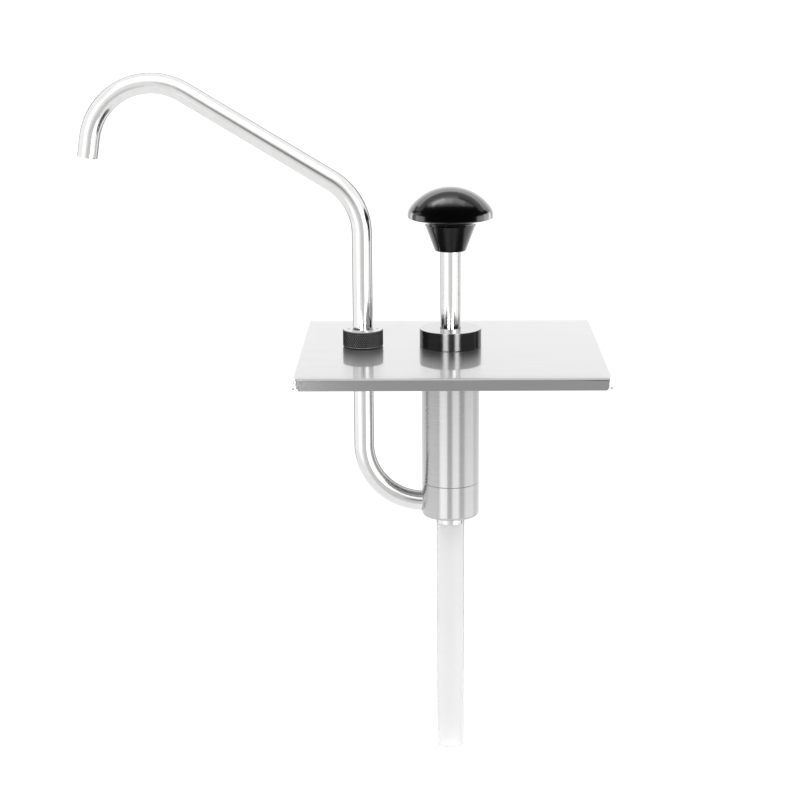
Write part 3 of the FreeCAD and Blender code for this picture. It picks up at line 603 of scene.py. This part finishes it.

# %% [markdown]
# ## The return spring
# A coil spring's wire follows a helix. At both ends it lies flat, so that the spring stands
# square: the height stays still for most of the first and last turn, and rises evenly between. The
# spring shortens as the rod goes down, which a helix can't do by riding on one body; it gets a
# mesh of its own.

# %% Spring
COIL_RADIUS, WIRE_RADIUS, COIL_LOW, COIL_HIGH, COIL_TURNS = 12.8, 0.8, -87.0, -19.95, 9.0
FLAT_TURN, WIRE_ROWS, WIRE_COLUMNS, STROKE = 0.7, 900, 12, 40.0
wire = np.linspace(0, 1, WIRE_ROWS)[:, None]
flat_share = FLAT_TURN / COIL_TURNS
rising = np.clip((wire - flat_share) / (1 - 2 * flat_share), 0, 1)
wire_angle = wire * COIL_TURNS * 2 * np.pi
wire_height = COIL_LOW + WIRE_RADIUS + rising * (COIL_HIGH - COIL_LOW - 2 * WIRE_RADIUS)
section = round_angles(WIRE_COLUMNS)
end_taper = np.where((wire == 0) | (wire == 1), 0.0, 1.0)
coil_reach = COIL_RADIUS + end_taper * WIRE_RADIUS * np.cos(section)
coil_points = np.stack([coil_reach * np.cos(wire_angle), coil_reach * np.sin(wire_angle),
                        wire_height + end_taper * WIRE_RADIUS * np.sin(section)], -1)
spring = mesh_piece("spring", coil_points, grid_faces(WIRE_ROWS, WIRE_COLUMNS, False, True),
                    "pump", "spring_steel", ["return_spring"])
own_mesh(spring)

# %% [markdown]
# ## Shader maths as Python
# A material is a web of nodes. Written out link by link it is hard to read, so one small class
# stands for the output of a node. Adding or multiplying two of them adds the Math node that does
# it, and its one method adds any other node: it sets the node's settings first, then links or
# fills its inputs.

# %% A socket that does arithmetic
class Flow:
    """The output of a shader node, or just its tree, to add nodes to."""

    def __init__(self, tree, socket=None):
        self.tree, self.socket = tree, socket

    def node(self, kind, settings=None, inputs=None, output=0):
        """Adds a node and returns one of its outputs."""
        made = self.tree.nodes.new(kind)
        for name, value in (settings or {}).items():
            setattr(made, name, value)
        for name, value in (inputs or {}).items():
            if isinstance(value, Flow):
                self.tree.links.new(value.socket, made.inputs[name])
            else:
                made.inputs[name].default_value = value
        return Flow(self.tree, made.outputs[output])

    def math(self, operation, *values):
        return self.node("ShaderNodeMath", {"operation": operation}, dict(enumerate(values)))

    def __add__(self, other):
        return self.math("ADD", self, other)

    def __mul__(self, other):
        return self.math("MULTIPLY", self, other)

    def __rsub__(self, other):
        return self.math("SUBTRACT", other, self)

    __radd__, __rmul__ = __add__, __mul__

    def clamped(self, low, high):
        """0 at low, 1 at high, straight between, and no further."""
        return self.node("ShaderNodeMapRange", {"clamp": True},
                         {"Value": self, "From Min": low, "From Max": high})


def mixed(share, first, second):
    """A colour between two colours."""
    return share.node("ShaderNodeMix", {"data_type": "RGBA"},
                      {0: share, 6: first, 7: second}, output=2)


# %% [markdown]
# Every finish starts from the same three things: where a point is on the part, a grain, which is
# noise stretched along the way the part was brushed, turned or drawn, and slow clouds, for
# handling and uneven polish.

# %% The start of a finish
def new_finish(name, metallic, constants):
    """A Principled material with its unchanging values set on the shader's own sockets."""
    material = bpy.data.materials.new(name)
    material.use_nodes = True
    tree = material.node_tree
    shader = tree.nodes["Principled BSDF"]
    shader.inputs["Metallic"].default_value = metallic
    for socket, value in constants.items():
        shader.inputs[socket].default_value = value
    return material, Flow(tree), shader


def grain(flow, stretch, detail=3.0):
    """Noise between 0 and 1, long where the stretch, in cycles a metre, is small."""
    place = flow.node("ShaderNodeTexCoord", output=3)
    along = flow.node("ShaderNodeMapping", {}, {"Vector": place, "Scale": stretch})
    return flow.node("ShaderNodeTexNoise", {}, {"Vector": along, "Scale": 1.0, "Detail": detail})


def height_of(flow):
    """A point's height above the lid's underside, in metres."""
    place = flow.node("ShaderNodeTexCoord", output=3)
    return flow.node("ShaderNodeSeparateXYZ", {}, {"Vector": place}, output=2)


def connect(flow, shader, colour, roughness=None, height=None, depth=0.0, coat=None, metal=None):
    """Links what changes over the surface. A height, so many metres deep, goes through Bump."""
    changing = {"Base Color": colour, "Roughness": roughness,
                "Coat Weight": coat, "Metallic": metal}
    for name, value in changing.items():
        if value:
            flow.tree.links.new(value.socket, shader.inputs[name])
    if height:
        bump = flow.node("ShaderNodeBump", {}, {
            "Strength": 1.0, "Distance": depth, "Height": height})
        flow.tree.links.new(bump.socket, shader.inputs["Normal"])


def tone(level, warm=0.0):
    """A near-grey colour, which a warm value above 0 turns towards red."""
    return (level * (1 + warm), level, level * (1 - warm), 1.0)


# %% [markdown]
# ## Steel
# Brushed steel doesn't blur a reflection evenly. Its scratches all run one way, so it blurs across
# them and stays sharp along them. The shader's Anisotropic value does this. The direction goes
# round each part's own middle, which is right for turned parts; a quarter turn of it makes the
# blur run up and down, across the turning marks. On top of that lies the grain that can be seen.

# %% Steel finishes
def steel(name, dark, light, rough, rough_swing, stretch, depth, anisotropic, edge=1.0, painted_foot_gain=1.0):
    """The grain shows in the colour, the roughness and the surface. The gain at the lower end is
    for the barrel, whose colour is that many times as bright there: painted shade, darker under the
    lid.
    An edge value under 1 is for the lid: under its fold the colour keeps that share of its
    brightness, painted shade on the folded lip, and its top is a rougher face under a clear polish."""
    material, flow, shader = new_finish(name, 1.0, {
        "Anisotropic": anisotropic, "Anisotropic Rotation": 0.25})
    fine = grain(flow, stretch)
    clouds = grain(flow, (18, 18, 18), 2.0)
    colour = mixed(fine.clamped(0.25, 0.75), tone(dark, 0.004), tone(light, 0.004))
    roughness = rough + rough_swing * fine + 0.03 * clouds
    polish = None
    if painted_foot_gain > 1.0:
        # Painted shade: the colour grows brighter towards the lower end, so the part up under the
        # lid stays darker.
        high = height_of(flow).clamped(FOOT * MM, 0)
        colour = mixed(high, mixed(fine, tone(painted_foot_gain * dark), tone(painted_foot_gain * light)), colour)
    if edge < 1.0:
        # Painted shade: the folded lip's colour is darker than the top's.
        below = 1 - height_of(flow).clamped(-0.6 * MM, 0.3 * MM)
        colour = mixed(below, colour, tone(edge * (dark + light) / 2))
        polish = height_of(flow).clamped(0.7 * MM, 0.99 * MM)
        roughness = roughness + 0.22 * polish
        shader.inputs["Coat Roughness"].default_value = 0.04
    connect(flow, shader, colour, roughness, fine, depth, coat=polish)
    return material


finishes = {
    # The lid's edge value, 0.81, is painted shade on its folded lip.
    "lid_steel": steel("brushed sheet", 0.38, 0.43, 0.06, 0.03, (14, 1400, 1400), 4e-7, 0.5,
                       edge=0.81),
    # The pump steel's gain at the lower end is painted shade under the lid.
    "pump_steel": steel("turned steel", 0.30, 0.35, 0.22, 0.06, (60, 60, 3800), 5e-8, 0.8,
                        painted_foot_gain=1.4),
    "pipe_steel": steel("polished tube", 0.64, 0.68, 0.10, 0.04, (300, 300, 300), 4e-7, 0.3),
    "polished_steel": steel("polished bar", 0.68, 0.72, 0.08, 0.03, (40, 40, 1500), 3e-7, 0.3),
    "fitting_steel": steel("machined steel", 0.32, 0.40, 0.22, 0.08, (90, 90, 3000), 1e-6, 0.6),
    "spring_steel": steel("drawn wire", 0.40, 0.50, 0.25, 0.10, (500, 500, 500), 1e-6, 0.2),
}

# %% [markdown]
# ## Black finishes
# There are three blacks. The clamp collar's side is a deep, even black with a clear reflection,
# and its top face is coloured as bright metal, a painted highlight on the black top. The nut is
# blackened steel: its top face is coloured as bright metal, and handling has rubbed the tips of
# its knurling. Where those are is read from the height and from the distance to the nut's axis.
# The knob is moulded plastic under a coat that grows towards its outline.

# %% Black finishes
def collar_black():
    """Black under the top face; the top face is a painted highlight in bright metal colour."""
    material, flow, shader = new_finish("lacquered black, painted top highlight", 0.0, {
        "IOR": 1.5, "Specular IOR Level": 0.4})
    # Painted highlight: the top face gets a bright metal colour and a metallic value.
    top = height_of(flow).clamped((COLLAR_TOP - 0.25) * MM, (COLLAR_TOP - 0.05) * MM)
    marks = grain(flow, (50, 50, 2600))
    colour = mixed(top, mixed(marks.clamped(0.3, 0.7), tone(0.002), tone(0.004)), tone(0.46))
    connect(flow, shader, colour, 0.14 + 0.06 * marks, marks, 4e-7, metal=top)
    return material


def nut_black():
    """Bright metal on the top and, duller, on the tips."""
    material, flow, shader = new_finish("blackened knurl", 0.0, {
        "IOR": 1.5, "Specular IOR Level": 0.06})
    place = flow.node("ShaderNodeTexCoord", output=3)
    centred = flow.node("ShaderNodeVectorMath", {"operation": "MULTIPLY_ADD"},
                        {0: place, 1: (1, 1, 0), 2: (-UNION_X * MM, 0, 0)})
    from_axis = flow.node("ShaderNodeVectorMath", {"operation": "LENGTH"}, {0: centred}, output=1)
    tips = from_axis.clamped((NUT_RADIUS - 0.17) * MM, (NUT_RADIUS - 0.05) * MM)
    top = height_of(flow).clamped((NUT_HIGH - 0.15) * MM, (NUT_HIGH - 0.02) * MM)
    dust = grain(flow, (900, 900, 900))
    bright = top + tips * (0.16 + 0.16 * dust)
    colour = mixed(bright, tone(0.002), tone(0.60))
    connect(flow, shader, colour, 0.30 - 0.1 * tips + 0.1 * dust, dust, 1e-6, metal=bright)
    return material


def knob_plastic():
    """A coat where the surface turns away from the eye."""
    material, flow, shader = new_finish("moulded black", 0.0, {
        "IOR": 1.5, "Specular IOR Level": 0.4, "Coat Roughness": 0.12})
    skin = grain(flow, (700, 700, 700), 4.0)
    clouds = grain(flow, (30, 30, 30), 2.0)
    outline = flow.node("ShaderNodeLayerWeight", {}, {"Blend": 0.5}, output=1).clamped(0.15, 0.75)
    colour = mixed(clouds.clamped(0.3, 0.7), tone(0.001), tone(0.003))
    connect(flow, shader, colour, 0.12 + 0.05 * skin + 0.03 * clouds, skin, 7e-6, coat=outline)
    return material


finishes.update({"gloss_black": collar_black(), "knurled_black": nut_black(),
                 "knob_black": knob_plastic()})

# %% [markdown]
# ## Plastics, rubber and brass
# The suction tube is frosted: the nipple inside it shows only as a soft shadow. The other small
# parts are opaque, each with its own grain.

# %% Plastics, rubber and brass
def frosted():
    """Half of the light goes through, blurred."""
    material, flow, shader = new_finish("frosted tube", 0.0, {
        "IOR": 1.45, "Transmission Weight": 0.5, "Specular IOR Level": 0.1})
    drawn = grain(flow, (700, 700, 25))
    colour = mixed(drawn, tone(0.97), tone(0.99))
    connect(flow, shader, colour, 0.12 + 0.08 * drawn, drawn, 3e-6)
    return material


def plain(name, dark, light, rough, stretch, depth, metallic=0.0, constants=None):
    """An opaque finish whose colour, roughness and surface follow one grain."""
    material, flow, shader = new_finish(name, metallic, constants or {})
    skin = grain(flow, stretch)
    connect(flow, shader, mixed(skin, dark, light), rough + 0.12 * skin, skin, depth)
    return material


finishes.update({
    "frosted_tube": frosted(),
    "white_acetal": plain("machined acetal", (0.80, 0.80, 0.78, 1), (0.88, 0.88, 0.86, 1),
                          0.3, (80, 80, 3000), 4e-6),
    "slip_plastic": plain("slip plastic", (0.78, 0.78, 0.76, 1), (0.86, 0.86, 0.84, 1),
                          0.4, (900, 900, 900), 3e-6),
    "black_rubber": plain("moulded rubber", tone(0.012), tone(0.025),
                          0.55, (1200, 1200, 1200), 8e-6),
    "silicone_seal": plain("silicone", (0.62, 0.62, 0.60, 1), (0.72, 0.72, 0.70, 1),
                           0.35, (500, 500, 500), 4e-6,
                           constants={"Subsurface Weight": 0.2, "Subsurface Scale": 0.001}),
    "insert_brass": plain("turned brass", (0.68, 0.50, 0.22, 1), (0.80, 0.62, 0.32, 1),
                          0.2, (80, 80, 3000), 3e-6, metallic=1.0),
})
print("finishes:", sorted(finishes))

# %% [markdown]
# Each piece takes the finish that its slot names. The CAD parts that still show, which are the
# ones inside the pump, take theirs through their own material slots.

# %% Every piece gets its finish
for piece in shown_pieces():
    if "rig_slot" in piece:
        piece.data.materials.clear()
        piece.data.materials.append(finishes[piece["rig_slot"]])
    else:
        for place in piece.material_slots:
            place.material = finishes[place.material.name.split(".")[0]]

# %% [markdown]
# ## Floor and light
# Steel has hardly any colour of its own. It looks like what it reflects, so lighting it means
# choosing what stands round it. Round this pump there is plain white over a pale floor. Grey and
# white screens stand behind the camera and soft lights stand and hang round it. The camera sees
# none of them.

# %% World and floor
def emitting(name, level):
    """A surface that gives out an even light."""
    material = bpy.data.materials.new(name)
    material.use_nodes = True
    shader = material.node_tree.nodes["Principled BSDF"]
    shader.inputs["Base Color"].default_value = (0, 0, 0, 1)
    shader.inputs["Specular IOR Level"].default_value = 0.0
    shader.inputs["Emission Color"].default_value = (1, 1, 1, 1)
    shader.inputs["Emission Strength"].default_value = level
    return material


def flat_panel(name, corners, material):
    """A four-cornered sheet, not part of the object."""
    mesh = bpy.data.meshes.new(name)
    mesh.from_pydata(corners, [], [(0, 1, 2, 3)])
    mesh.materials.append(material)
    panel = bpy.data.objects.new(name, mesh)
    bpy.context.scene.collection.objects.link(panel)
    panel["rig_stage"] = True
    return panel


WHITE = 1.3
world = bpy.data.worlds.new("studio")
bpy.context.scene.world = world
world.use_nodes = True
world.node_tree.nodes["Background"].inputs["Color"].default_value = (1, 1, 1, 1)
world.node_tree.nodes["Background"].inputs["Strength"].default_value = WHITE

FLOOR_LEVEL, FLOOR_REACH = -0.9, 12.0
floor_paint, floor_flow, floor_shader = new_finish("pale floor", 0.0, {"Specular IOR Level": 0.1})
connect(floor_flow, floor_shader, mixed(grain(floor_flow, (2, 2, 2)), tone(0.90), tone(0.92)))
floor_shader.inputs["Roughness"].default_value = 0.9
flat_panel("floor", [(x * FLOOR_REACH, y * FLOOR_REACH, FLOOR_LEVEL)
                     for x, y in ((-1, -1), (1, -1), (1, 1), (-1, 1))], floor_paint)

# %% [markdown]
# Screens and lights reach only some of the finishes, as a studio flags a light off one
# part with a card. A collection lists the pieces that a light reaches, and for the others it is
# dark: they still see a screen, but black. So a wide bowl in front, which is as white as the
# rest to the steel, is black to the knob, the collar and the nut, and gives them their deep tone.
# To the lid it is black too, because the collar would see it mirrored in the lid.

# %% Screens in front
STEEL = ("pump_steel", "pipe_steel", "polished_steel", "fitting_steel", "spring_steel")
TURNED = ("pump_steel", "fitting_steel")
PIPES = ("pipe_steel", "polished_steel")
BLACK = ("gloss_black", "knurled_black")
LID = ("lid_steel",)
KNOB = ("knob_black",)
NOT_PIPES = TURNED + BLACK + LID + KNOB + ("spring_steel",)


def reaching(lamp, slots):
    """The lamp or the glowing panel lights only the pieces with one of these finishes."""
    group = bpy.data.collections.new(f"{lamp.name} reaches")
    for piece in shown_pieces():
        if piece.get("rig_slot") in slots:
            group.objects.link(piece)
    lamp.light_linking.receiver_collection = group


def only_reflected(panel, slots):
    """Only reflections see the panel, and it glows only for some finishes."""
    panel.visible_camera = panel.visible_shadow = False
    panel.visible_diffuse = panel.visible_transmission = False
    reaching(panel, slots)


def glowing(name, corners, level, slots):
    """A flat panel that only reflections see."""
    only_reflected(flat_panel(name, corners, emitting(name, level)), slots)


def upright_panel(name, left, right, low, high, y, level, slots):
    """A glowing panel that stands across the view."""
    glowing(name, [(left, y, low), (right, y, low), (right, y, high), (left, y, high)],
            level, slots)


BOWL_SLOPE, BOWL_RISE, BOWL_LOW, BOWL_FROM, BOWL_TO = 0.66, 0.91, -0.6, -140, 125
BOWL_ROWS, BOWL_COLUMNS, BOWL_RADIUS = 13, 41, 3.0


def bowl(level, slots):
    """A bowl open to the back and the top. At an angle a from straight ahead of the pump, its edge
    is as high as the elevation e with sin e - slope cos a cos e = rise."""
    a = np.radians(np.linspace(BOWL_FROM, BOWL_TO, BOWL_COLUMNS))[None, :]
    size = np.sqrt(1 + (BOWL_SLOPE * np.cos(a)) ** 2)
    edge = np.arcsin(BOWL_RISE / size) + np.arctan(BOWL_SLOPE * np.cos(a))
    e = BOWL_LOW + (edge - BOWL_LOW) * np.linspace(0, 1, BOWL_ROWS)[:, None]
    way = np.stack([np.cos(e) * np.sin(a), -np.cos(e) * np.cos(a), np.sin(e) + 0 * a], -1)
    points = BOWL_RADIUS * way
    points[..., 2] = np.maximum(points[..., 2], FLOOR_LEVEL + 0.01)
    faces = grid_faces(BOWL_ROWS, BOWL_COLUMNS, False, False)
    made = mesh_of("bowl", points.reshape(-1, 3), faces)
    made.data.materials.append(emitting("bowl", level))
    made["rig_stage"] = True
    only_reflected(made, slots)


SCREEN_Y, SPLIT, SCREEN_TOP, SCREEN_MIDDLE, SCREEN_END = -1.5, 0.05, 0.75, -0.35, 2.2
CARD_SIDE, CARD_LOW, CARD_TOP, CARD_LEVEL, GREY = 0.19, 0.0, 0.42, 0.25, 0.82
ROOF_SIDE, ROOF_FRONT, ROOF_BACK, ROOF_HEIGHT = 3.0, 0.45, 1.35, 1.5
BACK_SIDE, BACK_Y, BACK_TOP = 2.0, 1.6, 1.1
STRIP_X, STRIP_FRONT, STRIP_BACK, STRIP_TOP = 1.8, 0.34, 0.60, 0.6
for name, left, right, level in (("grey screen", SCREEN_MIDDLE, SCREEN_END, GREY),
                                 ("left card", -SCREEN_END, SCREEN_MIDDLE, 1.1)):
    upright_panel(f"{name}, low", left, right, FLOOR_LEVEL, SPLIT, SCREEN_Y, level, STEEL + LID)
    upright_panel(f"{name}, high", left, right, SPLIT, SCREEN_TOP, SCREEN_Y, level, STEEL)
upright_panel("dark card", -CARD_SIDE, CARD_SIDE, CARD_LOW, CARD_TOP, SCREEN_Y + 0.02,
              CARD_LEVEL, STEEL + LID)
bowl(WHITE, STEEL)
glowing("roof", [(x * ROOF_SIDE, y, ROOF_HEIGHT) for x, y in (
    (-1, ROOF_FRONT), (1, ROOF_FRONT), (1, ROOF_BACK), (-1, ROOF_BACK))],
    WHITE, STEEL + BLACK + LID)
upright_panel("backdrop", -BACK_SIDE, BACK_SIDE, FLOOR_LEVEL, BACK_TOP, BACK_Y, WHITE, NOT_PIPES)
glowing("side strip", [(STRIP_X, y, z) for y, z in (
    (STRIP_FRONT, FLOOR_LEVEL), (STRIP_BACK, FLOOR_LEVEL),
    (STRIP_BACK, STRIP_TOP), (STRIP_FRONT, STRIP_TOP))], WHITE, NOT_PIPES)

# %% [markdown]
# The lights are flat sheets too. The turned steel mirrors two tall ones as upright bands, and the
# collar mirrors a narrow bright pair. The pipes have their own, on both sides, above and behind.
# One light hangs high in front for the lid's fold. Over the knob hang five, brightest at the left
# and fading to the right and the back, and one at each side lights its cone. Only the pipes need
# the dark card, so a light in front of it brightens it for the other steel.

# %% Lights
def soft_light(name, place, aim, wide, high, radiance, slots):
    """A soft light facing a point. A sheet of radiance L and area A gives out pi L A watts."""
    data = bpy.data.lights.new(name, "AREA")
    data.shape, data.size, data.size_y = "RECTANGLE", wide, high
    data.energy = math.pi * radiance * wide * high
    lamp = bpy.data.objects.new(name, data)
    lamp.location = place
    lamp.rotation_mode = "QUATERNION"
    lamp.rotation_quaternion = (Vector(aim) - Vector(place)).to_track_quat("-Z", "Y")
    lamp.visible_camera = False
    bpy.context.scene.collection.objects.link(lamp)
    reaching(lamp, slots)
    print(f"  {data.energy:.1f} W")


card_middle = (CARD_LOW + CARD_TOP) / 2
LAMP_Y = -1.25
LAMPS = [
    ("card fill", (0.0, SCREEN_Y + 0.03, card_middle), (0, 0, card_middle),
     2 * CARD_SIDE, CARD_TOP - CARD_LOW, GREY - CARD_LEVEL, TURNED + LID + ("spring_steel",)),
    ("turned parts, left", (-0.69, LAMP_Y, 0.0), (0, 0, 0), 0.79, 1.6, 1.1, TURNED),
    ("turned parts, right", (0.47, LAMP_Y, 0.0), (0, 0, 0), 0.67, 1.6, 1.1, TURNED),
    ("turned parts, far right", (1.6, -0.25, -0.3), (0, 0, -0.05), 1.3, 1.4, 0.4, TURNED),
    ("pipes, left", (-1.1, LAMP_Y, 0.0), (0, 0, 0), 1.3, 1.6, 0.5, PIPES),
    ("pipes, right", (1.05, LAMP_Y, 0.0), (0, 0, 0), 1.3, 1.6, 1.9, PIPES),
    ("pipes, above", (-0.1, -0.8, 1.4), (-0.1, 0, 0.1), 2.6, 1.6, 0.5, PIPES),
    ("pipes, behind", (0.0, 1.55, 0.1), (0, 0, 0.1), 4.0, 2.0, 0.45, PIPES),
    ("collar, left", (-0.42, LAMP_Y, 0.0), (0, 0, 0), 0.40, 1.6, 34.0, BLACK + LID),
    ("collar, right", (0.56, LAMP_Y, 0.0), (0, 0, 0), 0.36, 1.6, 34.0, BLACK + LID),
    ("lid fold", (0.0, -1.1, 1.45), (0, -0.086, 0), 0.6, 2.2, 1.3, LID),
    ("lid, left", (-1.9, -0.6, 0.35), (0, 0, 0), 1.8, 1.2, 0.4, LID),
    ("lid, right", (1.9, -0.6, 0.35), (0, 0, 0), 1.8, 1.2, 0.4, LID)]
for lamp in LAMPS:
    soft_light(*lamp)

KNOB_LAMP_HEIGHT, KNOB_AIM = 1.2, 0.09
for name, x, y, wide, high, radiance in (
        ("brightest", -0.42, 0.22, 0.50, 0.25, 5.0), ("bright", -0.15, 0.14, 0.45, 0.30, 3.0),
        ("right", 0.20, 0.15, 0.60, 0.30, 1.6), ("fading", -0.30, 0.40, 1.10, 0.30, 1.2),
        ("far", 0.0, 0.90, 4.0, 0.9, 0.6)):
    soft_light(f"knob, {name}", (x, y, KNOB_LAMP_HEIGHT), (x, y, KNOB_AIM),
               wide, high, radiance, KNOB)
for side in (-1, 1):
    soft_light(f"knob, side {side + 1}", (1.7 * side, 0.55, -0.15), (0, 0.55, -0.15),
               2.1, 1.2, 3.2, KNOB)

# %% [markdown]
# ## The tones
# The render keeps plain sRGB tones.

# %% Tones and the end
bpy.context.scene.view_settings.view_transform = "Standard"
